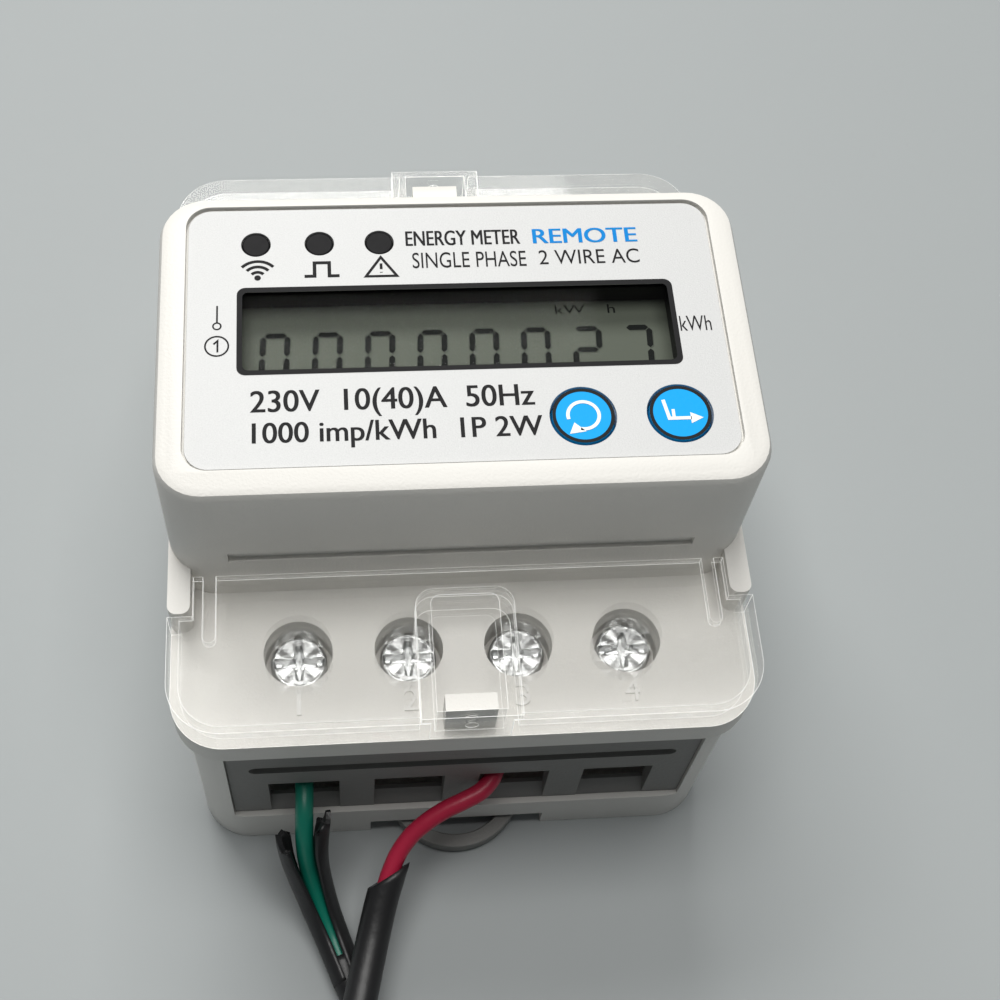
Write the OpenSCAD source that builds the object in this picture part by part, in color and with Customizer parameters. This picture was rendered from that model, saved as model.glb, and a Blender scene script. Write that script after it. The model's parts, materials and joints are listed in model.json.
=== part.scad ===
// Electronic energy meter for a 35 mm rail, four modules wide, lying on its back.
// Millimetres. +Z comes out of the face, +Y points to the top of the label and +X to its right.
// The origin is under the middle of the meter, on the plane that its back lies on.

/* [Housing] */
// Width over the terminal covers, four modules
body_w = 76; // [72:0.5:76.5]
// Length from the lower terminal wall to the upper one
body_l = 88; // [84:1:90]
// Depth from the back plane to the face
body_h = 65; // [64:0.5:66]
// Length of the raised nose with the display
nose_l = 45; // [44.5:0.1:45.5]
// Width of the rear half of the housing, which is a little narrower
base_w = 73; // [71:0.5:73]
// Height of the seam between the two halves of the housing
seam_z = 33.5; // [32:0.5:34]
// Height of the deck that the screw wells open in
deck_z = 38; // [37.5:0.5:38.5]
// Radius of the upright corners of the housing
corner_r = 7; // [6:0.5:8]
// Wall thickness of the housing
wall = 2; // [1.6:0.1:2.2]

/* [Terminals] */
// Distance between neighbouring terminals
pitch = 14.4; // [14.4:0.1:14.8]
// Bore of the screw wells
well_d = 9; // [8.6:0.1:9.2]
// Outer diameter of the terminal screw heads
head_d = 7.4; // [7:0.1:7.8]
// Thread size of the terminal screws
thread_d = 5; // [4.8:0.1:5]
// Gap under a busbar that a clamp leaves when it holds a conductor
clamp_gap = 1.5; // [1.4:0.1:2]

/* [Face] */
// Width of the label
label_w = 68.4; // [66:0.2:69]
// Height of the label
label_h = 38.8; // [36:0.2:39]
// Width of the display opening
window_w = 55.4; // [54:0.2:56]
// Height of the display opening
window_h = 12.3; // [12:0.1:13]
// Diameter of the push buttons
button_d = 7.8; // [7.4:0.1:8]
// Diameter of the indicator windows
lens_d = 3.6; // [3.2:0.1:4]

/* [Rail clip] */
// Width of the rail that the meter snaps on
rail_w = 35; // [35:0.1:35.2]
// How far the loop of the rail clip stands out of the housing
clip_out = 4; // [3:0.5:5]

/* [Leads] */
// Diameter of one insulated conductor
core_d = 2.5; // [2.4:0.1:3]
// Diameter of the black jacket over a conductor
jacket_d = 4.6; // [4.4:0.1:4.8]

/* [Hidden] */

$fn = 48;
white = [0.93, 0.92, 0.89];
grey = [0.52, 0.51, 0.49];
clear = [0.9, 0.92, 0.92, 0.35];
steel = [0.72, 0.72, 0.7];
copper = [0.75, 0.45, 0.28];
board = [0.1, 0.35, 0.2];
black = [0.06, 0.06, 0.06];

// Heights, from the back plane up
channel_z = 5;         // depth of the rail channel
floor_z = 7;           // inner floor over the channel
main_board_z = 20;     // underside of the main board
board_t = 1.6;         // thickness of both boards
busbar_z = 18.9;       // underside of the busbar tongues
busbar_t = main_board_z - busbar_z;  // thickness of the busbars
wire_z = busbar_z - clamp_gap / 2;   // axis of a clamped conductor
cage_z = busbar_z - clamp_gap - 1.6; // underside of a clamp
cage_h = 11.2;         // height of a clamp
head_z = deck_z - 3;   // top of the screw heads
display_board_z = 51;  // underside of the display board
plate_z = body_h - 2.6;              // underside of the face
label_z = body_h - 0.9;              // underside of the label
label_t = 0.5;         // thickness of the label
cover_z = 43.8;        // top of the clear covers
cover_t = 1.4;         // thickness of the clear covers

// Places along the meter, measured from the middle of the housing
half_l = body_l / 2;
rear_cut = 1.8;        // the rear deck is a little shorter
rear_l = half_l - rear_cut;
mid_y = (clip_out + rear_cut) / 2;  // the middle of the nose in the part's own frame
half_nose = nose_l / 2;
well_y = 31.5;         // distance of the screw wells from the middle
label_y = 0.9;         // middle of the label
window_x = 0.2;        // middle of the display opening
window_y = 1.3;
button_x = [14.7, 26.9];
button_y = -12.5;
lens_x = [-25.5, -17.3, -9.5];
lens_y = 14.7;
terminal_x = [for (i = [-1.5 : 1.5]) i * pitch];
lug_w = 6.6;           // width of the sealing lugs
ear_w = 2.9;           // width of the ears beside the covers
ear_y = 27.9;          // far end of the ears
panel_w = 63;          // width of the wire entry panels
boss_x = 30.5;         // places of the housing screws
boss_y = 36.3;
boss_z = 27.8;         // where the bosses of the two halves meet

// Routes of the leads: where a core runs in the open, where its jacket lies, and its coil
coil_r = 25;           // radius at the middle turn of both coils
coil_x = 16;
coil_y = -105;
coil_w = 14.4;         // width of three turns side by side
coil_h = 4.7;          // height of one layer of turns
red_coil_z = 4.85;     // the red lead's layer lies on the green lead's
green_core_path = [[-21.6, -38, wire_z], [-21.6, -41, wire_z], [-21.6, -44, wire_z],
  [-21.7, -46.5, 17.4], [-21.8, -48.8, 15.2], [-21.7, -50.6, 12.4], [-21.3, -52.2, 9.4],
  [-20.6, -54.2, 6.6], [-19.7, -56.6, 4.4], [-18.6, -59.4, 3], [-17.4, -62.6, 2.5]];
green_jacket_path = [[-17.4, -62.6, 2.5], [-16.2, -65.8, 2.4], [-14.9, -69, 2.4],
  [-13.6, -72.6, 2.4], [-12.7, -76.6, 2.4], [-12.3, -81, 2.4], [-12.4, -85.8, 2.4],
  [-13, -91, 2.4]];
red_core_path = [[5.4, -38, wire_z], [5.1, -40.6, wire_z], [4.3, -42.9, wire_z],
  [2.6, -44.7, 18], [0.2, -45.8, 17.6], [-2.4, -46.7, 16.8], [-5, -47.9, 15.6],
  [-7.3, -49.4, 14.1], [-9.1, -51.4, 12.5], [-10.4, -53.8, 11]];
red_jacket_path = [[-10.4, -53.8, 11], [-11.5, -56.8, 9.6], [-12.5, -60.2, 8.4],
  [-13.5, -64, 7.7], [-14.6, -68.4, 7.5], [-15.6, -72.8, 7.4], [-16.2, -77.4, 7.3],
  [-16.2, -82.2, 7.2], [-15.6, -87.4, 7.2], [-14.5, -94, 7.2]];

// End of the housing, and the height and place of the sealing hole, at the front (-1) or rear (1)
function end_y(s) = s < 0 ? -half_l : rear_l;
function hole_z(s) = s < 0 ? 42.4 : 41.2;
function lug_y(s) = s < 0 ? 2.4 - half_l : rear_l - 2.6;

// Brings a piece from the housing's middle to the part's own frame
module framed() {
  translate([0, mid_y, 0]) children();
}

// Plate with round upright corners, its underside at z
module slab(w, l, r, z, h) {
  translate([-w / 2, -l / 2 + r, z]) cube([w, l - 2 * r, h]);
  translate([-w / 2 + r, -l / 2, z]) cube([w - 2 * r, l, h]);
  for (x = [-1, 1], y = [-1, 1])
    translate([x * (w / 2 - r), y * (l / 2 - r), z]) cylinder(r = r, h = h);
}

// Box between two corners
module box(a, b) {
  translate(a) cube(b - a);
}

// Tube swept along a route with a ring of n sides at every point
module sweep(path, d, n = 8) {
  last = len(path) - 1;
  ahead = [for (i = [0 : last]) let (v = path[min(i + 1, last)] - path[max(i - 1, 0)]) v / norm(v)];
  side = [for (t = ahead) let (v = cross(t, abs(t[2]) > 0.9 ? [1, 0, 0] : [0, 0, 1])) v / norm(v)];
  rings = [for (i = [0 : last]) for (k = [0 : n - 1])
    path[i] + d / 2 * (cos(360 * k / n) * side[i] + sin(360 * k / n) * cross(side[i], ahead[i]))];
  walls = [for (i = [0 : last - 1]) for (k = [0 : n - 1])
    [i * n + k, i * n + (k + 1) % n, (i + 1) * n + (k + 1) % n, (i + 1) * n + k]];
  polyhedron(rings, concat([[for (k = [n - 1 : -1 : 0]) k]], walls,
    [[for (k = [0 : n - 1]) last * n + k]]), convexity = 6);
}

// Rear half of the housing, with the rail channel, the clip slot and the terminal bays
module base_housing() {
  color(white) framed() difference() {
    translate([0, -rear_cut / 2, 0]) slab(base_w, body_l - rear_cut, corner_r, 0, seam_z);
    difference() {
      translate([0, -rear_cut / 2, 0])
        slab(base_w - 2 * wall, body_l - rear_cut - 2 * wall, corner_r - wall, floor_z, seam_z);
      for (s = [-1, 1])
        box([-base_w / 2, s * (half_nose + 0.2) - 0.75, floor_z - 1],
          [base_w / 2, s * (half_nose + 0.2) + 0.75, seam_z]);
      for (x = [-1, 1], y = [-1, 1]) {
        translate([x * boss_x, y * boss_y, floor_z - 1]) cylinder(d = 6.6, h = boss_z - floor_z + 1);
        translate([x * 28, y * 15, floor_z - 1]) cylinder(d = 6, h = main_board_z - floor_z + 1);
      }
      for (x = [-1, 0, 1])
        box([x * pitch - 1, -half_l + wall + 0.8, floor_z - 1], [x * pitch + 1, -half_nose, seam_z - 3.5]);
    }
    // openings of the wire entry panels
    for (s = [-1, 1])
      box([-panel_w / 2 - 0.1, end_y(s) - 3, 9.4], [panel_w / 2 + 0.1, end_y(s) + 3, seam_z + 1]);
    // slots of the busbars through the cross wall
    for (x = terminal_x)
      box([x - 3.4, -half_nose - 1.5, busbar_z - 0.1], [x + 3.4, -half_nose + 1.5, busbar_z + busbar_t + 0.1]);
    // rail channel, with an undercut lip at its upper edge
    box([-base_w, -rail_w / 2 - 0.3, -1], [base_w, rail_w / 2 - 1.5, 3]);
    box([-base_w, -rail_w / 2 - 0.3, 2.99], [base_w, rail_w / 2 + 0.3, channel_z]);
    // slot of the rail clip and the notch under the entries
    box([-10.3, -half_l - 1, -1], [10.3, -rail_w / 2, 3.6]);
    box([-12.5, -half_l - 1, -1], [12.5, -half_l + 3, 4]);
    // holes of the housing screws
    for (x = [-1, 1], y = [-1, 1])
      translate([x * boss_x, y * boss_y, -1]) {
        cylinder(d = 3.4, h = boss_z + 2);
        cylinder(d = 6, h = 4);
      }
  }
}

// Outer shape of the nose, with round upright corners and a small round along its top edge
module nose_shape(w, l, r, z, top) {
  hull()
    for (x = [-1, 1], y = [-1, 1])
      translate([x * (w / 2 - r), y * (l / 2 - r), z]) {
        cylinder(r = r, h = top - z - 1.4, $fn = 32);
        cylinder(r = r - 0.45, h = top - z - 0.4, $fn = 32);
        cylinder(r = r - 1.4, h = top - z, $fn = 32);
      }
}

// Well round a terminal screw, with the ring that its head rests on
module well() {
  difference() {
    translate([0, 0, 30.6]) cylinder(d = well_d + 2.4, h = deck_z - 1.9 - 30.6);
    translate([0, 0, 32.2]) cylinder(d = well_d, h = deck_z);
    translate([0, 0, 29]) cylinder(d = thread_d + 0.6, h = 5);
  }
}

// Front half of the housing: the nose, both decks, the screw wells, the ears and the sealing lugs
module top_housing() {
  color(white) framed() {
    difference() {
      union() {
        nose_shape(body_w, nose_l, 6, deck_z - wall, body_h);
        translate([0, -rear_cut / 2, 0]) slab(body_w, body_l - rear_cut, corner_r, seam_z, deck_z - seam_z);
        for (s = [-1, 1], x = [-1, 1])
          translate([x * (body_w / 2 - ear_w / 2), s * (ear_y / 2 + 8), 0])
            slab(ear_w, ear_y - 16, 1.2, deck_z - 1, 45 - deck_z);
        for (s = [-1, 1])
          box([-lug_w / 2, lug_y(s) - 1.1, deck_z - 1], [lug_w / 2, lug_y(s) + 1.1, hole_z(s) + 2.2]);
      }
      // inside of the nose, open to the rear half
      box([-body_w / 2 + wall, -half_nose + wall, seam_z - 1], [body_w / 2 - wall, half_nose - wall, plate_z]);
      // space under both decks
      for (s = [-1, 1])
        box([-base_w / 2 + wall, (end_y(s) + s * half_nose) / 2 - (abs(end_y(s)) - half_nose) / 2 + wall, seam_z - 1],
          [base_w / 2 - wall, (end_y(s) + s * half_nose) / 2 + (abs(end_y(s)) - half_nose) / 2 - wall, deck_z - wall]);
      // recess of the label, and the openings of the display, the buttons and the indicators
      translate([0, label_y, 0]) slab(label_w + 0.6, label_h + 0.6, 3.2, label_z, 3);
      translate([window_x, window_y, 0])
        box([-29.6, -8, plate_z - 1], [29.6, 8, body_h + 1]);
      for (x = button_x)
        translate([x, button_y, plate_z - 1]) cylinder(d = button_d + 0.6, h = 5);
      for (x = lens_x)
        translate([x, lens_y, plate_z - 1]) cylinder(d = lens_d + 0.2, h = 5);
      // screw wells and the holes of the sealing wire
      for (x = terminal_x)
        translate([x, -well_y, deck_z - 5]) cylinder(d = well_d, h = 9);
      for (s = [-1, 1])
        translate([0, end_y(s), hole_z(s)]) rotate([90, 0, 0]) cylinder(d = 1.6, h = 12, center = true);
      // shallow groove across the lower and upper walls of the nose
      for (s = [-1, 1])
        box([-30, s * half_nose - 0.6, 47.6], [30, s * half_nose + 0.6, 49.7]);
      // driver holes over the small terminals
      for (x = [-6, 6])
        translate([x, well_y, deck_z - 5]) cylinder(d = 4.4, h = 9);
    }
    for (x = terminal_x)
      translate([x, -well_y, 0]) well();
    // bosses of the housing screws, and posts over the display board
    for (x = [-1, 1], y = [-1, 1])
      translate([x * boss_x, y * boss_y, boss_z]) difference() {
        cylinder(d = 6.6, h = deck_z - wall - boss_z + 0.1);
        translate([0, 0, -1]) cylinder(d = 2.9, h = 7.6);
      }
    for (x = [-1, 1], y = [-1, 1])
      translate([x * 32.6, y * 17.4, display_board_z + board_t])
        cylinder(d = 3.6, h = plate_z - display_board_z - board_t + 0.1);
  }
}

// Wall with the four wire entries, a long groove and a sloping floor in each entry
module terminal_panel_front() {
  face = -half_l + 0.8;
  color(grey) framed() {
    difference() {
      box([-panel_w / 2, face, 9.5], [panel_w / 2, face + 2, seam_z - 0.1]);
      for (x = terminal_x)
        box([x - 4.8, face - 1, 9.4], [x + 4.8, face + 3, 20.9]);
      box([-27.6, face - 1, 25.4], [27.6, face + 1, 27.6]);
      for (s = [-1, 1])
        translate([s * 27.6, face - 1, 26.5]) rotate([-90, 0, 0]) cylinder(d = 2.2, h = 2);
    }
    for (x = terminal_x)
      translate([x - 4.9, 0, 0]) rotate([90, 0, 90])
        linear_extrude(9.8) polygon([[face + 0.05, 9.5], [face + 2, 9.5], [face + 2, 12.2], [face + 1.4, 12.2]]);
  }
}

// Wall with the small entry of the pulse output
module terminal_panel_rear() {
  face = rear_l - 0.8;
  color(grey) framed() difference() {
    box([-panel_w / 2, face - 1.6, 9.5], [panel_w / 2, face, seam_z - 0.1]);
    for (x = [-6, 6])
      box([x - 2.6, face - 3, 21], [x + 2.6, face + 1, 26]);
    box([-27.6, face - 1, 28.4], [27.6, face + 1, 30.4]);
  }
}

// Clear cover over one row of screws: a thin tray with a walled well round the sealing lug,
// cut away round the ears, with a slot beside each snap arm
module terminal_cover(far, hole) {
  back = -half_nose - 0.2;
  color(clear) {
    difference() {
      slab_y(cover_z, far);
      slab_inner(far);
      for (x = [-1, 1]) {
        box([x * (body_w / 2 - 1.4) - 1.8, -ear_y - 0.3, deck_z - 1], [x * (body_w / 2 - 1.4) + 1.8, 0, 50]);
        box([x * 32.7 - 0.8, -ear_y - 3.2, deck_z - 1], [x * 32.7 + 0.8, 0, 50]);
        translate([x * 32.7, -ear_y - 3.2, deck_z - 1]) cylinder(d = 1.6, h = 12);
      }
      box([-5.2, -far - 1, deck_z - 1], [5.2, -27, 50]);
      box([-40, back, deck_z - 1], [40, 10, 50]);
    }
    difference() {
      union() {
        box([-6.4, -far + 0.1, deck_z + 0.1], [6.4, -28.6, 45.2]);
        box([-4, -28.61, deck_z + 0.1], [4, -26.2, 45.2]);
        for (x = [-1, 1])
          translate([x * 4, -28.6, deck_z + 0.1]) cylinder(r = 2.4, h = 45.1 - deck_z);
      }
      box([-4.4, -far + 1.1, deck_z - 1], [4.4, -28.4, 50]);
      for (x = [-1, 1])
        translate([x * 3.2, -28.4, deck_z - 1]) cylinder(r = 1.2, h = 12);
      box([-3.2, -28.41, deck_z - 1], [3.2, -27.2, 50]);
      translate([0, -far, hole]) rotate([90, 0, 0]) cylinder(d = 1.6, h = 6, center = true);
    }
  }
}

// Outer block of a cover, with the round corners of the housing
module slab_y(top, far) {
  box([-body_w / 2, -far + corner_r, deck_z + 0.1], [body_w / 2, 0, top]);
  box([-body_w / 2 + corner_r, -far, deck_z + 0.1], [body_w / 2 - corner_r, 0, top]);
  for (x = [-1, 1])
    translate([x * (body_w / 2 - corner_r), -far + corner_r, deck_z + 0.1])
      cylinder(r = corner_r, h = top - deck_z - 0.1);
}

// Hollow under a cover
module slab_inner(far) {
  r = corner_r - cover_t;
  h = cover_z - cover_t - deck_z + 1;
  box([-body_w / 2 + cover_t, -far + corner_r, deck_z - 1], [body_w / 2 - cover_t, 1, deck_z - 1 + h]);
  box([-body_w / 2 + corner_r, -far + cover_t, deck_z - 1], [body_w / 2 - corner_r, 1, deck_z - 1 + h]);
  for (x = [-1, 1])
    translate([x * (body_w / 2 - corner_r), -far + corner_r, deck_z - 1]) cylinder(r = r, h = h);
}

module terminal_cover_front() {
  framed() terminal_cover(half_l, hole_z(-1));
}

module terminal_cover_rear() {
  framed() rotate([0, 0, 180]) terminal_cover(rear_l, hole_z(1));
}

// Printed metal label
module label_plate() {
  color([0.78, 0.78, 0.78]) framed() difference() {
    translate([0, label_y, 0]) slab(label_w, label_h, 3, label_z, label_t);
    translate([window_x, window_y, label_z - 1])
      box([-window_w / 2, -window_h / 2, 0], [window_w / 2, window_h / 2, 3]);
    for (x = button_x)
      translate([x, button_y, label_z - 1]) cylinder(d = button_d + 0.6, h = 3);
    for (x = lens_x)
      translate([x, lens_y, label_z - 1]) cylinder(d = lens_d + 0.2, h = 3);
  }
}

// Black frame round the display, under the label
module display_bezel() {
  color(black) framed() translate([window_x, window_y, 0]) difference() {
    box([-29.4, -7.8, 60], [29.4, 7.8, label_z]);
    box([-window_w / 2 - 0.3, -window_h / 2 - 0.3, 59], [window_w / 2 + 0.3, window_h / 2 + 0.3, 66]);
    box([-28.5, -6.9, label_z - 1], [28.5, 6.9, 66]);
  }
}

// Clear pane that rests in the bezel
module display_window() {
  color(clear) framed() translate([window_x, window_y, 0])
    box([-28.4, -6.8, label_z - 1], [28.4, 6.8, label_z - 0.1]);
}

// Liquid crystal cell
module lcd_glass() {
  color([0.5, 0.55, 0.48]) framed() translate([window_x, window_y, 0])
    box([-31, -12, 57.9], [31, 12, 59.9]);
}

// Light guide behind the liquid crystal
module lcd_backlight() {
  color([0.9, 0.9, 0.88]) framed() translate([window_x, window_y, 0])
    box([-30, -8, display_board_z + board_t], [30, 8, 57.9]);
}

// Two elastic contact strips between the board and the edges of the glass
module lcd_contact_strips() {
  color([0.7, 0.65, 0.6]) framed() translate([window_x, window_y, 0])
    for (s = [-1, 1])
      box([-29, s * 9.3 - 1, display_board_z + board_t], [29, s * 9.3 + 1, 57.9]);
}

// Board under the face
module display_board() {
  color(board) framed()
    box([-35, -19.5, display_board_z], [35, 20, display_board_z + board_t]);
}

// Three dark windows in the label
module indicator_lenses() {
  color([0.15, 0.15, 0.15]) framed()
    for (x = lens_x)
      translate([x, lens_y, 60.2]) cylinder(d = lens_d, h = label_z + label_t - 0.1 - 60.2);
}

// Three light-emitting diodes under the windows
module indicator_leds() {
  color([0.85, 0.85, 0.8]) framed()
    for (x = lens_x)
      translate([x, lens_y + 0.4, 0]) {
        translate([0, 0, display_board_z + board_t]) cylinder(d = 3, h = 5.6);
        translate([0, 0, display_board_z + board_t + 5.6]) sphere(d = 2.96);
      }
}

// Push button with a retaining flange and a stem
module push_button(x) {
  color([0.05, 0.5, 0.8]) framed() translate([x, button_y, 0]) {
    translate([0, 0, plate_z - 0.7]) cylinder(d = button_d, h = label_z + label_t + 0.1 - plate_z + 0.7);
    translate([0, 0, plate_z - 1.5]) cylinder(d = button_d + 1.8, h = 0.9);
    translate([0, 0, 57]) cylinder(d = 3, h = plate_z - 1.4 - 57);
  }
}

module button_reset() {
  push_button(button_x[0]);
}

module button_next() {
  push_button(button_x[1]);
}

// Bodies of the two tact switches
module switch_bodies() {
  color([0.2, 0.2, 0.2]) framed()
    for (x = button_x)
      translate([x, button_y, 0]) difference() {
        box([-3, -3, display_board_z + board_t], [3, 3, 56.2]);
        translate([0, 0, 54]) cylinder(d = 3.6, h = 4);
      }
}

// Plunger of a tact switch
module switch_plunger(x) {
  color([0.85, 0.85, 0.82]) framed()
    translate([x, button_y, 55]) cylinder(d = 3.2, h = 2);
}

module switch_plunger_reset() {
  switch_plunger(button_x[0]);
}

module switch_plunger_next() {
  switch_plunger(button_x[1]);
}

// Power board
module main_board() {
  color(board) framed()
    box([-33, -20.5, main_board_z], [33, 20.5, main_board_z + board_t]);
}

// Pins between the two boards
module board_link_header() {
  color([0.1, 0.1, 0.1]) framed() {
    box([-30, 14, main_board_z + board_t], [-8, 16.5, main_board_z + board_t + 8]);
    for (i = [0 : 7])
      box([-28.6 + i * 2.54, 14.95, main_board_z + board_t + 8], [-27.96 + i * 2.54, 15.6, display_board_z]);
  }
}

// Radio module under its metal can
module wireless_module() {
  color(steel) framed() {
    box([-30, -16, display_board_z - 0.8], [-12, 0, display_board_z]);
    box([-29, -15, display_board_z - 3.2], [-13, -4, display_board_z - 0.8]);
  }
}

// Latching relay
module relay() {
  color([0.12, 0.12, 0.13]) framed()
    box([2, -19, main_board_z + board_t], [31, -3, main_board_z + board_t + 17]);
}

// Iron core of the small transformer
module transformer_core() {
  color([0.35, 0.35, 0.36]) framed() difference() {
    box([6, 1, main_board_z + board_t], [28, 6.4, main_board_z + board_t + 19]);
    box([9.4, 0, main_board_z + board_t + 4.4], [14.3, 8, main_board_z + board_t + 15.6]);
    box([19.7, 0, main_board_z + board_t + 4.4], [24.6, 8, main_board_z + board_t + 15.6]);
  }
}

// Winding round the middle leg of the core
module transformer_winding() {
  z0 = main_board_z + board_t;
  color([0.85, 0.65, 0.2]) framed() difference() {
    box([9.6, -2, z0 + 4.6], [24.4, 9.4, z0 + 15.4]);
    box([14.2, 0.9, z0 + 4], [19.8, 6.5, z0 + 16]);
  }
}

// Film capacitor of the supply
module film_capacitor() {
  color([0.8, 0.65, 0.15]) framed()
    box([-28, -18, main_board_z + board_t], [-10, -10, main_board_z + board_t + 14]);
}

// Two electrolytic capacitors
module electrolytic_capacitors() {
  color([0.15, 0.15, 0.3]) framed()
    for (x = [-24, -13])
      translate([x, -3, main_board_z + board_t]) cylinder(d = 8, h = 12);
}

// Disc that absorbs mains surges
module varistor() {
  color([0.1, 0.3, 0.6]) framed()
    translate([-4, -12, main_board_z + board_t + 6]) rotate([90, 0, 0])
      cylinder(d = 10, h = 4.4, center = true);
}

// Metering chip and processor
module control_chips() {
  color(black) framed() {
    box([-20, 4, main_board_z + board_t], [-10, 10, main_board_z + board_t + 1.6]);
    box([-4, 12, main_board_z + board_t], [6, 19, main_board_z + board_t + 1.4]);
  }
}

// Busbar from a terminal into the power board
module busbar(x) {
  color(copper) framed()
    box([x - 3.2, -37, busbar_z], [x + 3.2, -16, main_board_z]);
}

module busbar_1() {
  busbar(terminal_x[0]);
}

module busbar_2() {
  busbar(terminal_x[1]);
}

module busbar_3() {
  busbar(terminal_x[2]);
}

module busbar_4() {
  busbar(terminal_x[3]);
}

// Cage that a terminal screw lifts against its busbar
module terminal_clamp(x) {
  color(steel) framed() translate([x, -well_y, cage_z]) difference() {
    box([-4.8, -4, 0], [4.8, 4, cage_h]);
    box([-3.8, -5, 1.6], [3.8, 5, cage_h - 2.4]);
    cylinder(d = thread_d, h = cage_h * 2);
  }
}

module terminal_clamp_1() {
  terminal_clamp(terminal_x[0]);
}

module terminal_clamp_2() {
  terminal_clamp(terminal_x[1]);
}

module terminal_clamp_3() {
  terminal_clamp(terminal_x[2]);
}

module terminal_clamp_4() {
  terminal_clamp(terminal_x[3]);
}

// Terminal screw with a combined cross and slot in its head
module terminal_screw(x) {
  color(steel) framed() translate([x, -well_y, 0]) difference() {
    union() {
      translate([0, 0, busbar_z + busbar_t + 0.2])
        cylinder(d = thread_d - 0.2, h = head_z - 1 - busbar_z - busbar_t);
      translate([0, 0, head_z - 2.7]) cylinder(d = head_d, h = 2.7);
    }
    box([-3.3, -0.5, head_z - 1.2], [3.3, 0.5, head_z + 1]);
    box([-0.5, -2, head_z - 1.6], [0.5, 2, head_z + 1]);
  }
}

module terminal_screw_1() {
  terminal_screw(terminal_x[0]);
}

module terminal_screw_2() {
  terminal_screw(terminal_x[1]);
}

module terminal_screw_3() {
  terminal_screw(terminal_x[2]);
}

module terminal_screw_4() {
  terminal_screw(terminal_x[3]);
}

// Sliding rail clip: a nose under the rail, a flat bar and a pull loop in front
module din_clip() {
  color(grey) framed() difference() {
    union() {
      box([-10, -half_l - clip_out + 10, 0.5], [10, -rail_w / 2 + 1.5, 2.7]);
      translate([0, -half_l - clip_out + 10, 0.5]) cylinder(r = 10, h = 2.2);
    }
    translate([0, -half_l - clip_out + 10, -1]) difference() {
      cylinder(r = 8, h = 6);
      box([-12, -5.2, -1], [12, 12, 8]);
    }
  }
}

// Bent wire spring that pushes the clip home
module din_clip_spring() {
  color(steel) framed()
    box([-5, -rail_w / 2 - 3.4, 2.8], [5, -rail_w / 2 - 0.6, 3.5]);
}

// Four screws that hold the housing together
module case_screws() {
  color(steel) framed()
    for (x = [-1, 1], y = [-1, 1])
      translate([x * boss_x, y * boss_y, 0]) {
        translate([0, 0, 2.9]) cylinder(d = 2.8, h = 31);
        difference() {
          translate([0, 0, 1]) cylinder(d = 5.4, h = 2);
          box([-2, -0.35, 0.5], [2, 0.35, 2]);
          box([-0.35, -2, 0.5], [0.35, 2, 2]);
        }
      }
}

// Two-way terminal of the pulse output, under the upper cover
module pulse_terminal_block() {
  color([0.2, 0.45, 0.3]) framed() difference() {
    box([-10, 25, floor_z], [10, rear_l - 3, 31]);
    for (x = [-6, 6]) {
      translate([x, well_y, 24]) cylinder(d = 4.2, h = 9);
      box([x - 2.2, 33.8, 21.4], [x + 2.2, half_l, 25.6]);
    }
  }
}

// Small screws of the pulse output
module pulse_terminal_screws() {
  color(steel) framed()
    for (x = [-6, 6])
      translate([x, well_y, 0]) difference() {
        translate([0, 0, 24]) cylinder(d = 3.9, h = 6);
        box([-3, -0.4, 29], [3, 0.4, 31]);
      }
}

// Bare end of a conductor in its clamp
module conductor(x0, x1) {
  a = [x0, -38, wire_z];
  b = [x1, -27, wire_z];
  color(copper) framed()
    translate(a) rotate([-90, 0, atan2(-(b[0] - a[0]), b[1] - a[1])]) cylinder(d = clamp_gap - 0.1, h = norm(b - a), $fn = 24);
}

module green_conductor() {
  conductor(green_core_path[0][0], terminal_x[0]);
}

module green_core() {
  color([0.05, 0.45, 0.35]) framed() sweep(green_core_path, core_d);
}

module green_jacket() {
  color(black) framed() sweep(green_jacket_path, jacket_d, 12);
}

// Closed ring that the wound length of a lead fits in
module coil_ring(z) {
  color(black) framed() translate([coil_x, coil_y, z]) rotate_extrude($fn = 64)
    translate([coil_r, coil_h / 2]) square([coil_w, coil_h], center = true);
}

module green_coil() {
  coil_ring(0.05);
}

module red_conductor() {
  conductor(red_core_path[0][0], terminal_x[2] - 1);
}

module red_core() {
  color([0.75, 0.12, 0.25]) framed() sweep(red_core_path, core_d);
}

module red_jacket() {
  color(black) framed() sweep(red_jacket_path, jacket_d, 12);
}

module red_coil() {
  coil_ring(red_coil_z);
}

// Strap round both coils
module lead_tie() {
  top = red_coil_z + coil_h;
  color([0.9, 0.9, 0.9]) framed() translate([coil_x + coil_r, coil_y, 0]) difference() {
    box([-coil_w / 2 - 0.9, -2, 0.05], [coil_w / 2 + 0.9, 2, top + 0.9]);
    box([-coil_w / 2 - 0.25, -3, -1], [coil_w / 2 + 0.25, 3, top + 0.15]);
  }
}

base_housing();
top_housing();
terminal_panel_front();
terminal_panel_rear();
terminal_cover_front();
terminal_cover_rear();
label_plate();
display_bezel();
display_window();
lcd_glass();
lcd_backlight();
lcd_contact_strips();
display_board();
indicator_lenses();
indicator_leds();
button_reset();
button_next();
switch_bodies();
switch_plunger_reset();
switch_plunger_next();
main_board();
board_link_header();
wireless_module();
relay();
transformer_core();
transformer_winding();
film_capacitor();
electrolytic_capacitors();
varistor();
control_chips();
busbar_1();
busbar_2();
busbar_3();
busbar_4();
terminal_clamp_1();
terminal_clamp_2();
terminal_clamp_3();
terminal_clamp_4();
terminal_screw_1();
terminal_screw_2();
terminal_screw_3();
terminal_screw_4();
din_clip();
din_clip_spring();
case_screws();
pulse_terminal_block();
pulse_terminal_screws();
green_conductor();
green_core();
green_jacket();
green_coil();
red_conductor();
red_core();
red_jacket();
red_coil();
lead_tie();
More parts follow.
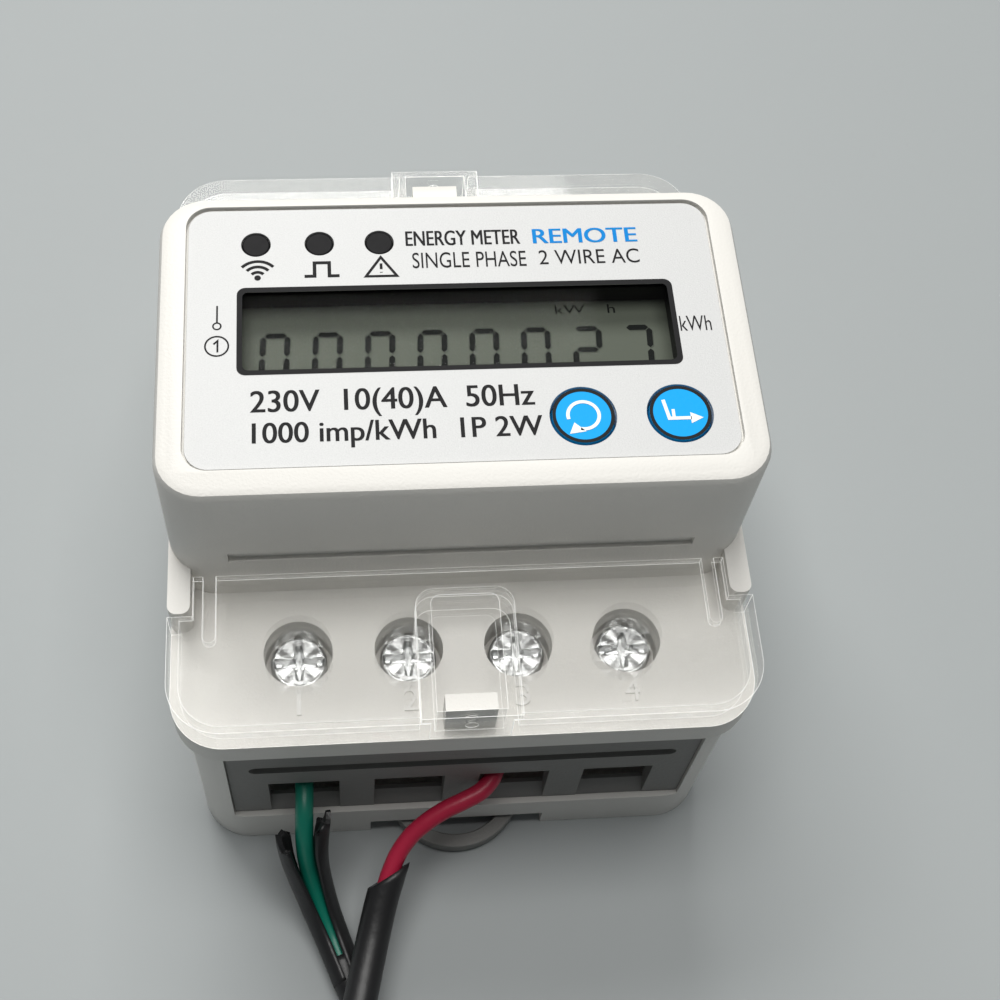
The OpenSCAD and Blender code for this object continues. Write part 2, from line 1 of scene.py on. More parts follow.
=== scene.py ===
"""A rail-mounted energy meter lying on its back, with two short leads in its lower terminals.

Everything is in metres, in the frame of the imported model: +Z out of the face and +Y to the label's top.
"""

import json
import math

import bmesh
import bpy
import numpy as np
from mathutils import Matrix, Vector

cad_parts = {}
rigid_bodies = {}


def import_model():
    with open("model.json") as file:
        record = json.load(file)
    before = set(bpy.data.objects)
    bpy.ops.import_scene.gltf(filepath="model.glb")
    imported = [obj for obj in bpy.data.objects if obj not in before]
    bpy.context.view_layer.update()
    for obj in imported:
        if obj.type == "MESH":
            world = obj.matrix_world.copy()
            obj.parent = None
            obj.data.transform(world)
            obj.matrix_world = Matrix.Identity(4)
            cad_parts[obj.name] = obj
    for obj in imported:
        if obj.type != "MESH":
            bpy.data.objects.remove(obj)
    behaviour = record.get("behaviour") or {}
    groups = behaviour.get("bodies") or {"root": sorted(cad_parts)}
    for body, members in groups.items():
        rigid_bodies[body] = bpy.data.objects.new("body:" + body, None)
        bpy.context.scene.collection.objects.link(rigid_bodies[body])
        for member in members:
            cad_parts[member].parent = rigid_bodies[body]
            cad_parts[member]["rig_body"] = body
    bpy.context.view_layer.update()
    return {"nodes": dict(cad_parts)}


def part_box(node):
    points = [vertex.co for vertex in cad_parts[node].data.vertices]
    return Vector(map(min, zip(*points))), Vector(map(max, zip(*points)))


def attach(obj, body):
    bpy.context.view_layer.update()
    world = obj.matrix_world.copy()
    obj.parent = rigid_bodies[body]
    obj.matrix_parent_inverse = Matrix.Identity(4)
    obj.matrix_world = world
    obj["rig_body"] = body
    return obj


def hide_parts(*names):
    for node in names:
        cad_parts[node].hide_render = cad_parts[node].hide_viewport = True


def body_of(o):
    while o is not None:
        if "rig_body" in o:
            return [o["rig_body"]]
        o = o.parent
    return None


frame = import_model()
nodes = frame["nodes"]
MM = 0.001

# ---- The view ---------------------------------------------------------------------------------
# The meter is seen from below its label and a little from the left, close up, so that the nose
# spreads towards the camera and the lower terminals show.
camera = bpy.data.objects.new("camera", bpy.data.cameras.new("camera"))
camera.location = np.array([-16.1, -110.8, 237.1]) * MM
camera.rotation_euler = np.radians([30.3, -3.55, -4.03])
camera.data.lens = 58.7
camera.data.shift_x = 0.0206
camera.data.shift_y = -0.0727
camera.data.clip_start = 0.01
bpy.context.scene.collection.objects.link(camera)
bpy.context.scene.camera = camera


# ---- The leads --------------------------------------------------------------------------------
# Two single conductors, green and red, whose black jackets are cut back near the terminals.
# Each core is clamped in its terminal, and the spare length of each jacket is wound in a coil.
class Wire:
    """One output of a shader node. Sums, products and the like of wires add Math nodes."""

    def __init__(self, finish, socket):
        self.finish, self.socket = finish, socket

    def math(self, operation, *values):
        return self.finish.add("ShaderNodeMath", {"operation": operation}, dict(enumerate(values)))

    def __add__(self, other):
        return self.math("ADD", self, other)

    def __sub__(self, other):
        return self.math("SUBTRACT", self, other)

    def __rsub__(self, other):
        return self.math("SUBTRACT", other, self)

    def __mul__(self, other):
        return self.math("MULTIPLY", self, other)

    def __gt__(self, other):
        return self.math("GREATER_THAN", self, other)

    def __lt__(self, other):
        return self.math("LESS_THAN", self, other)

    __radd__, __rmul__ = __add__, __mul__


class Finish:
    """A procedural material. fixed holds the shader's constant sockets, and paint() its varying ones."""

    def __init__(self, name, colour, roughness, **fixed):
        self.material = bpy.data.materials.new(name)
        self.material.use_nodes = True
        self.tree = self.material.node_tree
        self.shader = self.tree.nodes["Principled BSDF"]
        self.shader.inputs["Base Color"].default_value = (*colour, 1)
        self.shader.inputs["Roughness"].default_value = roughness
        for socket, value in fixed.items():
            self.shader.inputs[socket.replace("_", " ")].default_value = value
        self.colour, self.roughness = colour, roughness
        self.place = self.add("ShaderNodeTexCoord", out="Object")

    def add(self, kind, settings=None, inputs=None, out=0):
        """Makes a node: its settings first, then the values or links of its sockets."""
        node = self.tree.nodes.new(kind)
        for name, value in (settings or {}).items():
            setattr(node, name, value)
        for name, value in (inputs or {}).items():
            if isinstance(value, Wire):
                self.tree.links.new(value.socket, node.inputs[name])
            else:
                node.inputs[name].default_value = value
        return Wire(self, node.outputs[out])

    def paint(self, **wires):
        for name, wire in wires.items():
            self.tree.links.new(wire.socket, self.shader.inputs[name.replace("_", " ")])
        return self

    def noise(self, scale, detail=3.0, roughness=0.5):
        """Cloudy values round 0.5, with spots about 1 / scale metres wide."""
        return self.add("ShaderNodeTexNoise", {},
                        {"Vector": self.place, "Scale": scale, "Detail": detail, "Roughness": roughness})

    def mix(self, factor, one, other):
        """A colour between two, one where factor is 0 and the other where it is 1."""
        node = self.tree.nodes.new("ShaderNodeMix")
        node.data_type = "RGBA"
        for socket, value in zip((node.inputs[0], node.inputs[6], node.inputs[7]), (factor, one, other)):
            if isinstance(value, Wire):
                self.tree.links.new(value.socket, socket)
            else:
                socket.default_value = value if isinstance(value, float) else (*value, 1)
        return Wire(self, node.outputs[2])

    def bump(self, height, distance, strength=1.0):
        """A bump from a height of 0 to 1 that stands for this distance."""
        return self.add("ShaderNodeBump", {}, {"Height": height, "Distance": distance, "Strength": strength},
                        out="Normal")

    def speckled(self, scale, depth, shade=0.04, gloss=0.08):
        """Moulded or rolled grain: its spots vary colour, gloss and height a little."""
        grain, cloud = self.noise(scale), self.noise(60, 4)
        dark = tuple(c * (1 - 2 * shade) for c in self.colour)
        self.paint(Base_Color=self.mix(0.5 * grain + 0.5 * cloud, dark, self.colour),
                   Roughness=self.roughness - gloss / 2 + gloss * grain,
                   Normal=self.bump(grain, depth))
        return self


def shaped(name, points, faces, material, smooth=True, body="housing", slot=None):
    """A mesh object from points in metres and a list of faces. smooth is one answer for all of the faces, or
    one for each. With a slot, the piece rides on the body."""
    mesh = bpy.data.meshes.new(name)
    mesh.from_pydata(np.asarray(points, float).reshape(-1, 3).tolist(), [], faces)
    mesh.polygons.foreach_set("use_smooth", np.full(len(mesh.polygons), smooth))
    mesh.materials.append(material)
    mesh.update()
    piece = bpy.data.objects.new(name, mesh)
    bpy.context.scene.collection.objects.link(piece)
    if slot:
        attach(piece, body)
    return piece


def ring_quads(rings, sides, inward=False):
    """Four-sided faces from every ring of points to the next, each ring closed on itself."""
    start = np.arange(rings - 1)[:, None] * sides + np.arange(sides)[None, :]
    after = np.arange(rings - 1)[:, None] * sides + (np.arange(sides)[None, :] + 1) % sides
    corners = [start, after, after + sides, start + sides]
    if inward:
        corners = [start, start + sides, after + sides, after]
    return np.stack(corners, -1).reshape(-1, 4).tolist()


def curve_through(points, steps=6):
    """A smooth line through points: between each two, the cubic whose slope at a point is half the
    way from its neighbour before to its neighbour after."""
    p = np.vstack([2 * points[0] - points[1], points, 2 * points[-1] - points[-2]])
    t = np.linspace(0, 1, steps, endpoint=False)[None, :, None]
    a, b, c, d = (p[i:len(p) - 3 + i, None, :] for i in range(4))
    line = 0.5 * (2 * b + (c - a) * t + (2 * a - 5 * b + 4 * c - d) * t**2 + (3 * b - a - 3 * c + d) * t**3)
    return np.vstack([line.reshape(-1, 3), points[-1:]])


def tube(name, line, radius, material, sides=20, slant=0.0):
    """A round tube: a ring of points round every point of the line, square to its direction, with
    both ends closed. slant pushes the first rings along the line by a cosine round the ring."""
    ahead = np.gradient(line, axis=0)
    ahead /= np.linalg.norm(ahead, axis=1, keepdims=True)
    side = np.cross(ahead, [0, 0, 1])
    side /= np.linalg.norm(side, axis=1, keepdims=True)
    over = np.cross(side, ahead)
    turn = np.linspace(0, 2 * np.pi, sides, endpoint=False)[None, :, None]
    n = len(line)
    radius = np.broadcast_to(radius, n)[:, None, None]
    fade = np.exp(-np.arange(n) / 2.0)[:, None, None]
    rings = line[:, None] + radius * (np.cos(turn) * side[:, None] + np.sin(turn) * over[:, None])
    rings = rings - slant * fade * np.cos(turn) * ahead[:, None]
    faces = ring_quads(n, sides)
    faces += [list(range(sides))[::-1], list(range((n - 1) * sides, n * sides))]
    return shaped(name, rings, faces, material, [len(face) == 4 for face in faces])


def wound(centre_x, centre_y, height, turns):
    """The line of a flat coil: the radius steps in by a little over a diameter near the end of
    each turn, on one height."""
    turn = np.linspace(0, turns, int(turns * 40))
    steps = sum(np.clip((turn - n + 0.25) / 0.25, 0, 1) for n in (1, 2))
    whole = np.floor(steps)
    part = steps - whole
    radius = 29.8 - 4.8 * (whole + part**2 * (3 - 2 * part))
    angle = np.pi + 2 * np.pi * turn
    return np.column_stack([centre_x + radius * np.cos(angle), centre_y + radius * np.sin(angle),
                            np.full_like(turn, height)])


MIDDLE_Y = 2.9
CLAMPED_Z = 18.15
green_core_route = [[-21.6, -38, CLAMPED_Z], [-21.6, -41, CLAMPED_Z], [-21.6, -44, CLAMPED_Z],
                    [-21.7, -46.5, 17.4], [-21.8, -48.8, 15.2], [-21.7, -50.6, 12.4], [-21.3, -52.2, 9.4],
                    [-20.6, -54.2, 6.6], [-19.7, -56.6, 4.4], [-18.6, -59.4, 3], [-17.4, -62.6, 2.5]]
green_jacket_route = [[-17.4, -62.6, 2.5], [-16.2, -65.8, 2.4], [-14.9, -69, 2.4], [-13.6, -72.6, 2.4],
                      [-12.7, -76.6, 2.4], [-12.3, -81, 2.4], [-12.4, -85.8, 2.4], [-13, -91, 2.4]]
red_core_route = [[5.4, -38, CLAMPED_Z], [5.1, -40.6, CLAMPED_Z], [4.3, -42.9, CLAMPED_Z], [2.6, -44.7, 18],
                  [0.2, -45.8, 17.6], [-2.4, -46.7, 16.8], [-5, -47.9, 15.6], [-7.3, -49.4, 14.1],
                  [-9.1, -51.4, 12.5], [-10.4, -53.8, 11]]
red_jacket_route = [[-10.4, -53.8, 11], [-11.5, -56.8, 9.6], [-12.5, -60.2, 8.4], [-13.5, -64, 7.7],
                    [-14.6, -68.4, 7.5], [-15.6, -72.8, 7.4], [-16.2, -77.4, 7.3], [-16.2, -82.2, 7.2],
                    [-15.6, -87.4, 7.2], [-14.5, -94, 7.2]]
COIL_X, COIL_Y = 16, -105
CORE_R = 1.25 * MM
jacket_black = Finish("jacket_black", (0.016, 0.016, 0.017), 0.42, Specular_IOR_Level=0.5)
jacket_black.speckled(900, 0.00006)
core_green = Finish("core_green", (0.005, 0.2, 0.135), 0.38).speckled(700, 0.00004)
core_red = Finish("core_red", (0.5, 0.018, 0.06), 0.38).speckled(700, 0.00004)
bare_copper = Finish("bare_copper", (0.72, 0.36, 0.2), 0.3, Metallic=1.0).speckled(2500, 0.00003)


def metres(route):
    return (np.array(route, float) + [0, MIDDLE_Y, 0]) * MM


def jacket_half(name, core_line, first, side_on, spread):
    """Half of the slit end of the jacket: a crescent section, three quarters of a millimetre thick,
    swept beside the core. It leans away by the square of the way back to its ragged cut end."""
    line = core_line[first:]
    ahead = np.gradient(line, axis=0)
    ahead /= np.linalg.norm(ahead, axis=1, keepdims=True)
    side = np.cross(ahead, [0, 0, 1])
    side *= side_on / np.linalg.norm(side, axis=1, keepdims=True)
    over = np.cross(side, ahead)
    back = np.linspace(1, 0, len(line))[:, None]
    angle = np.radians(np.linspace(-78, 78, 12))
    angle, reach = np.concatenate([angle, angle[::-1]]), np.repeat([2.35 * MM, 1.65 * MM], 12)
    rings = (line + spread * back**2 * side)[:, None] + reach[:, None] * (
        np.cos(angle)[:, None] * side[:, None] + np.sin(angle)[:, None] * over[:, None])
    ragged = 0.7 * MM * np.sin(5 * angle) + 0.9 * MM * np.cos(2 * angle)
    rings[0] -= ragged[:, None] * ahead[0]
    n, m = len(line), len(angle)
    faces = ring_quads(n, m, inward=True)
    for ring, flip in ((0, 1), (n - 1, -1)):
        faces += [[ring * m + k, ring * m + k + 1, ring * m + m - 2 - k, ring * m + m - 1 - k][::flip]
                  for k in range(11)]
    return shaped(name, rings, faces, jacket_black.material, [k < (n - 1) * m for k in range(len(faces))],
                  slot="jacket_black")


def lead(colour, core_route, jacket_route, coil_z, core_finish, slant, slit=()):
    """Makes one lead: its core, its jacket down to the bare end of its coil, and the copper there."""
    inside = curve_through(metres(jacket_route))[:15]
    core_line = np.vstack([curve_through(metres(core_route))[:-1], inside])
    core = tube(f"{colour}_lead_core", core_line, CORE_R, core_finish.material, 16)
    coil = wound(COIL_X, COIL_Y, coil_z, 2.75)
    jacket_line = curve_through(metres(np.vstack([jacket_route, coil[1:]])), 4)
    jacket = tube(f"{colour}_lead_jacket", jacket_line, 2.3 * MM, jacket_black.material, 20, slant)
    end, on = jacket_line[-1], jacket_line[-1] - jacket_line[-2]
    on = on / np.linalg.norm(on)
    tip = tube(f"{colour}_lead_tip", end + np.linspace(-0.002, 0.006, 5)[:, None] * on, 0.7 * MM,
               bare_copper.material, 12)
    for piece, slot in ((core, f"insulation_{colour}"), (jacket, "jacket_black"), (tip, "copper")):
        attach(piece, "housing")
    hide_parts(f"{colour}_core")
    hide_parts(f"{colour}_jacket", f"{colour}_coil")
    halves = [jacket_half(f"{colour}_jacket_half_{k}", core_line[:-8], first, side_on, spread)
              for k, (first, side_on, spread) in enumerate(slit)]


lead("green", green_core_route, green_jacket_route, 2.4, core_green, 0,
     [(25, 1, 1.6 * MM), (20, -1, 1.3 * MM)])
lead("red", red_core_route, red_jacket_route, 7.2, core_red, -2.6 * MM)

# ---- The housing ------------------------------------------------------------------------------
# Two warm white injection mouldings, screwed together from the back: the flat base with the rail
# channel, and the top with the nose, the decks and the screw wells. Every edge is a little round.
def softened(node, finish, width, segments=2, angle=35, wall_finish=None, edge_finish=None):
    """A merged copy of a CAD node whose edges are rounded by a bevel, in place of the node."""
    mesh = nodes[node].data.copy()
    mesh.name = node + "_moulding"
    if "custom_normal" in mesh.attributes:
        mesh.attributes.remove(mesh.attributes["custom_normal"])
    work = bmesh.new()
    work.from_mesh(mesh)
    bmesh.ops.remove_doubles(work, verts=work.verts, dist=2e-6)
    bmesh.ops.dissolve_limit(work, angle_limit=math.radians(0.6), verts=work.verts, edges=work.edges)
    for face in work.faces:
        face.smooth = True
    for edge in work.edges:
        edge.smooth = True
    if wall_finish:
        for face in work.faces:
            face.material_index = int(abs(face.normal.z) < 0.5)
    work.to_mesh(mesh)
    work.free()
    mesh.materials.clear()
    mesh.materials.append(finish.material)
    piece = bpy.data.objects.new(node + "_moulding", mesh)
    bpy.context.scene.collection.objects.link(piece)
    bevel = piece.modifiers.new("rounded edges", "BEVEL")
    bevel.width, bevel.segments, bevel.limit_method = width, segments, "ANGLE"
    bevel.angle_limit = math.radians(angle)
    bevel.harden_normals = True
    if wall_finish:
        mesh.materials.append(wall_finish.material)
        mesh.materials.append(edge_finish.material)
        bevel.material = 2
    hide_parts(node)
    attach(piece, body_of(nodes[node])[0])
    return piece


housing_white = Finish("housing_white", (0.8, 0.785, 0.745), 0.45,
                       Specular_IOR_Level=0.4).speckled(2600, 0.00004, 0.02, 0.1)
softened("top_housing", housing_white, 0.3 * MM)
softened("base_housing", housing_white, 0.3 * MM)

# ---- The entry panels and the rail clip -------------------------------------------------------
# Grey mouldings: the lower panel's funnels lead the conductors in under a long groove, and the
# clip slides in its slot under the base, with a loop for a screwdriver.
panel_grey = Finish("panel_grey", (0.235, 0.232, 0.222), 0.5).speckled(2200, 0.00005, 0.03, 0.1)
softened("terminal_panel_front", panel_grey, 0.22 * MM)
softened("terminal_panel_rear", panel_grey, 0.22 * MM)
softened("din_clip", panel_grey, 0.3 * MM)

# ---- The terminal numbers ---------------------------------------------------------------------
# Each well has its number moulded on the deck in front of it, a fraction of a millimetre high, in a lighter
# white than the housing: a painted highlight on the raised strokes.
def lettering(name, text, left, right, bottom, top, height, finish, slot, body="housing", thick=0.0, pen=0.0):
    """Plain letters stretched to fill a rectangle at a height, as flat print or as a raised solid.
    pen doubles them a little to the left and right, which makes their strokes that much wider."""
    line = bpy.data.curves.new(name, "FONT")
    line.body, line.extrude, line.resolution_u = text, thick / MM / 2, 6
    holder = bpy.data.objects.new(name, line)
    bpy.context.scene.collection.objects.link(holder)
    bpy.context.view_layer.update()
    flat = bpy.data.meshes.new_from_object(holder.evaluated_get(bpy.context.evaluated_depsgraph_get()))
    bpy.data.objects.remove(holder)
    points = np.array([v.co for v in flat.vertices])
    faces = [list(f.vertices) for f in flat.polygons]
    low, high = points.min(0), points.max(0)
    points[:, 0] = left + (points[:, 0] - low[0]) / (high[0] - low[0]) * (right - left)
    points[:, 1] = bottom + MIDDLE_Y + (points[:, 1] - low[1]) / (high[1] - low[1]) * (top - bottom)
    points[:, 2] = height + (points[:, 2] - low[2] if thick else 0)
    if pen:
        faces += [[v + len(points) for v in f] for f in faces]
        points = np.vstack([points - [pen / 2, 0, 0], points + [pen / 2, 0, 0.01]])
    return shaped(name, points * MM, faces, finish.material, False, body, slot)


DECK_Z = 38.0
# Painted highlight: the numbers are the housing plastic made lighter, for the light their raised strokes
# catch.
number_painted_highlight = Finish("number_painted_highlight", (0.9, 0.89, 0.86), 0.4).speckled(2600, 0.00002)
PITCH = 14.4
for number in range(1, 5):
    middle = (number - 2.5) * PITCH
    half = 0.3 if number == 1 else 0.95
    lettering(f"deck_number_{number}", str(number), middle - half, middle + half, -40.0, -37.0, DECK_Z - 0.05,
              number_painted_highlight, "housing_white", thick=0.4 * MM)

# ---- The clear covers -------------------------------------------------------------------------
# Thin polycarbonate trays over both decks. Their flat stretches hardly show; the rounded edges of their rims,
# snap arms and the walled well round the sealing lug carry a painted highlight: an opaque white that glows a
# little.
cover_sheet = Finish("cover_sheet", (0.97, 0.97, 0.95), 0.05, Transmission_Weight=1.0, IOR=1.5, Alpha=0.2)
cover_sheet.paint(Normal=cover_sheet.bump(cover_sheet.noise(60, 1), 0.00008))
cover_wall = Finish("cover_wall", (0.5, 0.5, 0.49), 0.02, Transmission_Weight=1.0, IOR=1.58)
cover_wall.paint(Normal=cover_wall.bump(cover_wall.noise(160, 2), 0.00015))
# Painted highlight: the bevelled edges of the covers are opaque near-white and glow faintly, in place of the
# light their rims catch.
cover_rim_painted_highlight = Finish("cover_rim_painted_highlight", (1, 1, 0.98), 0.12, Alpha=1.0, Specular_IOR_Level=0.9,
                    Emission_Color=(1, 1, 0.98, 1), Emission_Strength=0.45)
cover_rim_painted_highlight.paint(Roughness=0.08 + 0.12 * cover_rim_painted_highlight.noise(500, 2))
for side in ("front", "rear"):
    softened(f"terminal_cover_{side}", cover_sheet, 0.28 * MM, 2, 35, cover_wall, cover_rim_painted_highlight)

# ---- The terminal screws and clamps -----------------------------------------------------------
# Zinc-plated steel. The combined heads take a flat or a cross driver: four pressed wings round a
# small pit, one pair of them running out to the rim, and a rolled edge.
zinc = Finish("zinc_plate", (0.56, 0.57, 0.57), 0.36, Metallic=1.0).speckled(1500, 0.00005, 0.06, 0.18)


def screw_head(name, centre, top, radius, body):
    """A turned disc on a polar grid: its height falls off at the rim as a quarter round, and the
    recess is the deeper of a long slot and four tapered wings, with sloping walls."""
    ring, turn = np.meshgrid(np.concatenate([np.linspace(0.001, 0.9, 40), np.linspace(0.91, 1, 10)]),
                             np.linspace(0, 2 * np.pi, 160, endpoint=False), indexing="ij")
    x, y = radius * ring * np.cos(turn), radius * ring * np.sin(turn)
    rim = 0.5 * (1 - np.sqrt(np.clip(1 - np.clip((ring - 0.86) / 0.14, 0, 1) ** 2, 0, 1)))
    wall = lambda inside: np.clip(inside / 0.28, 0, 1) ** 2 * (3 - 2 * np.clip(inside / 0.28, 0, 1))
    slot = 1.1 * wall(0.62 - np.abs(y)) * wall(3.4 - np.abs(x))
    wings = 1.5 * np.maximum(wall(0.85 - np.abs(y) - 0.2 * np.abs(x)) * wall(2.5 - np.abs(x)),
                             wall(0.85 - np.abs(x) - 0.2 * np.abs(y)) * wall(2.5 - np.abs(y)))
    facets = 0.16 * np.cos(4 * turn) ** 2 * np.clip(ring, 0, 0.8) * (ring < 0.84)
    z = top - 0.15 - rim - np.maximum(slot, wings) - facets
    n, m = ring.shape
    skirt = np.stack([x[-1], y[-1], np.full(m, top - 2.7)], -1)
    points = np.concatenate([np.stack([x, y, z], -1).reshape(-1, 3), skirt]) + [centre[0], centre[1], 0]
    faces = ring_quads(n + 1, m, inward=True)
    faces += [list(range(m)), [n * m + k for k in range(m)][::-1]]
    return shaped(name, points * MM, faces, zinc.material, [len(face) == 4 for face in faces], body,
                  "plated_steel")


def shank(name, centre, low, high, body):
    """A threaded rod: the radius of each ring follows a rounded saw-tooth of 0.8 mm pitch."""
    along, turn = np.meshgrid(np.linspace(0, high - low, 140), np.linspace(0, 2 * np.pi, 32, endpoint=False),
                              indexing="ij")
    phase = (along / 0.8 - turn / (2 * np.pi)) % 1
    radius = 2.02 + 0.36 * (1 - np.abs(2 * phase - 1))
    points = np.stack([centre[0] + radius * np.cos(turn), centre[1] + radius * np.sin(turn), low + along], -1)
    n, m = along.shape
    faces = ring_quads(n, m) + [list(range(m))[::-1], list(range((n - 1) * m, n * m))]
    return shaped(name, points * MM, faces, zinc.material, False, body, "plated_steel")


for number in range(1, 5):
    low, high = (np.array(corner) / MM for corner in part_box(f"terminal_screw_{number}"))
    centre = (low + high)[:2] / 2
    head = screw_head(f"screw_head_{number}", centre, high[2], (high - low)[0] / 2, f"screw_{number}")
    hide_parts(f"terminal_screw_{number}")
    shank(f"screw_thread_{number}", centre, low[2], high[2] - 2.7, f"screw_{number}")
    softened(f"terminal_clamp_{number}", zinc, 0.3 * MM)

# ---- The label --------------------------------------------------------------------------------
# A silver film on thin aluminium, let into the face. Its fine metallic grain is even, and the
# rating, the terminal signs and the names of the indicators are screen-printed on it.
label_silver = Finish("label_silver", (0.6, 0.61, 0.62), 0.5, Metallic=0.12, Specular_IOR_Level=0.25)
flakes = label_silver.noise(5200, 2, 0.7)
clouds = label_silver.noise(14, 2)
sparkle = label_silver.mix(0.75 * flakes + 0.25 * clouds, (0.47, 0.475, 0.475), (0.7, 0.705, 0.7))
label_silver.paint(Base_Color=sparkle, Roughness=0.42 + 0.16 * flakes,
                   Normal=label_silver.bump(flakes, 0.00003))
ink_black = Finish("ink_black", (0.015, 0.015, 0.016), 0.6, Specular_IOR_Level=0.12).speckled(1800, 0.00001)
ink_blue = Finish("ink_blue", (0.003, 0.24, 0.66), 0.6, Specular_IOR_Level=0.12).speckled(1800, 0.00001)
softened("label_plate", label_silver, 0.1 * MM)
LABEL_TOP = float(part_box("label_plate")[1][2]) / MM
PRINT_Z = LABEL_TOP + 0.03


def printed(name, outlines, height, finish, slot, body="housing"):
    """Flat ink: every outline is a ring of points that becomes one face."""
    points = np.concatenate([np.column_stack([o, np.full(len(o), height)]) for o in outlines])
    starts = np.cumsum([0] + [len(o) for o in outlines])
    faces = [list(range(a, b)) for a, b in zip(starts[:-1], starts[1:])]
    return shaped(name, (points + [0, MIDDLE_Y, 0]) * MM, faces, finish.material, False, body, slot)


def stripes(line, width):
    """A line drawn with a pen of this width. At each point the edges lie half a width away, along
    the mean of the normals of both stretches, stretched so that the width stays the same."""
    line = np.asarray(line, float)
    closed = np.allclose(line[0], line[-1])
    on = np.diff(line, axis=0)
    on /= np.linalg.norm(on, axis=1, keepdims=True)
    normal = np.stack([-on[:, 1], on[:, 0]], 1)
    before, after = np.vstack([normal[-1:] if closed else normal[:1], normal]), np.vstack(
        [normal, normal[:1] if closed else normal[-1:]])
    shift = (before + after) / (1 + (before * after).sum(1, keepdims=True)) * width / 2
    one, two = line - shift, line + shift
    return [np.array(q) for q in zip(one[:-1], one[1:], two[1:], two[:-1])]


def arc(x, y, radius, start, end, count=24):
    """Points on a circle between two angles in degrees."""
    angle = np.radians(np.linspace(start, end, count))
    return np.column_stack([x + radius * np.cos(angle), y + radius * np.sin(angle)])


BACK = "black_plastic"
lettering("print_rating", "230V  10(40)A  50Hz", -26.2, 8.8, -11.7, -7.6, PRINT_Z, ink_black, BACK, pen=0.12)
lettering("print_constant", "1000 imp/kWh  1P 2W", -26.0, 9.5, -16.0, -12.2, PRINT_Z, ink_black, BACK,
          pen=0.12)
lettering("print_title", "ENERGY METER", -6.0, 9.0, 14.0, 16.4, PRINT_Z, ink_black, BACK, pen=0.1)
lettering("print_series", "REMOTE", 10.8, 24.6, 14.0, 16.4, PRINT_Z, ink_blue, BACK, pen=0.16)
lettering("print_phases", "SINGLE PHASE", -5.3, 9.6, 10.4, 12.9, PRINT_Z, ink_black, BACK)
lettering("print_wires", "2 WIRE AC", 11.3, 24.6, 10.6, 12.9, PRINT_Z, ink_black, BACK)
lettering("print_unit", "kWh", 28.6, 32.7, -0.3, 2.0, PRINT_Z, ink_black, BACK)
printed("print_class", stripes([[-30.8, -0.6], [-30.3, -0.1], [-30.3, -1.8]], 0.24),
        PRINT_Z, ink_black, BACK)
printed("print_class_ring", stripes(arc(-30.4, -0.9, 1.45, 0, 360, 33), 0.22), PRINT_Z, ink_black, BACK)
pin, eye = stripes([[-30.4, 5.2], [-30.4, 2.6]], 0.22), stripes(arc(-30.4, 2.1, 0.5, 0, 360, 17), 0.2)
printed("print_circuit", pin + eye, PRINT_Z, ink_black, BACK)
printed("print_radio", sum([stripes(arc(-25.3, 9.3, r, 42, 138, 13), 0.42) for r in (1.0, 1.85, 2.7)],
                           [arc(-25.3, 9.4, 0.42, 0, 340, 14)]), PRINT_Z, ink_black, BACK)
pulse = [[-19.3, 9.5], [-18.0, 9.5], [-18.0, 11.6], [-16.1, 11.6], [-16.1, 9.5], [-14.8, 9.5]]
printed("print_pulse", stripes(pulse, 0.46), PRINT_Z, ink_black, BACK)
alert = ([[-11.4, 9.3], [-9.4, 12.3], [-7.4, 9.3], [-11.4, 9.3]],
         [[-9.4, 11.3], [-9.4, 10.4]], [[-9.4, 9.95], [-9.4, 9.85]])
printed("print_alert", sum([stripes(line, 0.36) for line in alert], []), PRINT_Z, ink_black, BACK)

# ---- The display ------------------------------------------------------------------------------
# A reflective seven-segment cell lies a few millimetres under a clear pane, in a black frame.
# Its segments are dark, and a painted shadow of them, a faint dark copy offset down and to the right, lies on
# the cell's face.
frame_black = Finish("frame_black", (0.012, 0.012, 0.013), 0.45, Specular_IOR_Level=0.2)
frame_black.speckled(1500, 0.00002)
softened("display_bezel", frame_black, 0.15 * MM)
WINDOW_X, WINDOW_Y, WINDOW_W, WINDOW_H = 0.2, 1.3, 55.4, 12.3


def rounded(x, y, w, h, r, count=7):
    """The outline of a rectangle whose corners are quarter circles."""
    corners = [(x + w / 2 - r, y + h / 2 - r, 0), (x - w / 2 + r, y + h / 2 - r, 90),
               (x - w / 2 + r, y - h / 2 + r, 180), (x + w / 2 - r, y - h / 2 + r, 270)]
    return np.concatenate([arc(a, b, r, turn, turn + 90, count) for a, b, turn in corners])


def band(outer, inner):
    """The strip between two outlines with the same number of points, as four-sided pieces."""
    return [np.array(q) for q in zip(outer, np.roll(outer, -1, 0), np.roll(inner, -1, 0), inner)]


printed("print_window_edge", band(rounded(WINDOW_X, WINDOW_Y, WINDOW_W + 0.9, WINDOW_H + 0.9, 1.1),
                                  rounded(WINDOW_X, WINDOW_Y, WINDOW_W - 0.5, WINDOW_H - 0.5, 0.8)),
        PRINT_Z, ink_black, BACK)
cell_grey = Finish("cell_grey", (0.12, 0.136, 0.108), 0.5, Specular_IOR_Level=0.1)
cell_grey.speckled(2500, 0.000005, 0.04, 0.05)
softened("lcd_glass", cell_grey, 0.1 * MM)
CELL_TOP = float(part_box("lcd_glass")[1][2]) / MM
segment_ink = Finish("segment_ink", (0.006, 0.008, 0.007), 0.6, Alpha=0.95, Specular_IOR_Level=0.1)
# Painted shadow: a faint, see-through dark copy of the segments, in place of the shadow they cast on the
# reflector.
segment_painted_shadow = Finish("segment_painted_shadow", (0.03, 0.036, 0.03), 0.6, Alpha=0.2, Specular_IOR_Level=0.1)
for ink in (segment_ink, segment_painted_shadow):
    ink.speckled(2500, 0.000005)
DIGIT_W, DIGIT_H, DIGIT_STEP, DIGIT_X, DIGIT_Y, BAR = 3.9, 7.3, 6.76, -25.2, 3.9, 0.78
LIT = {"0": "abcdef", "2": "abged", "7": "abc"}


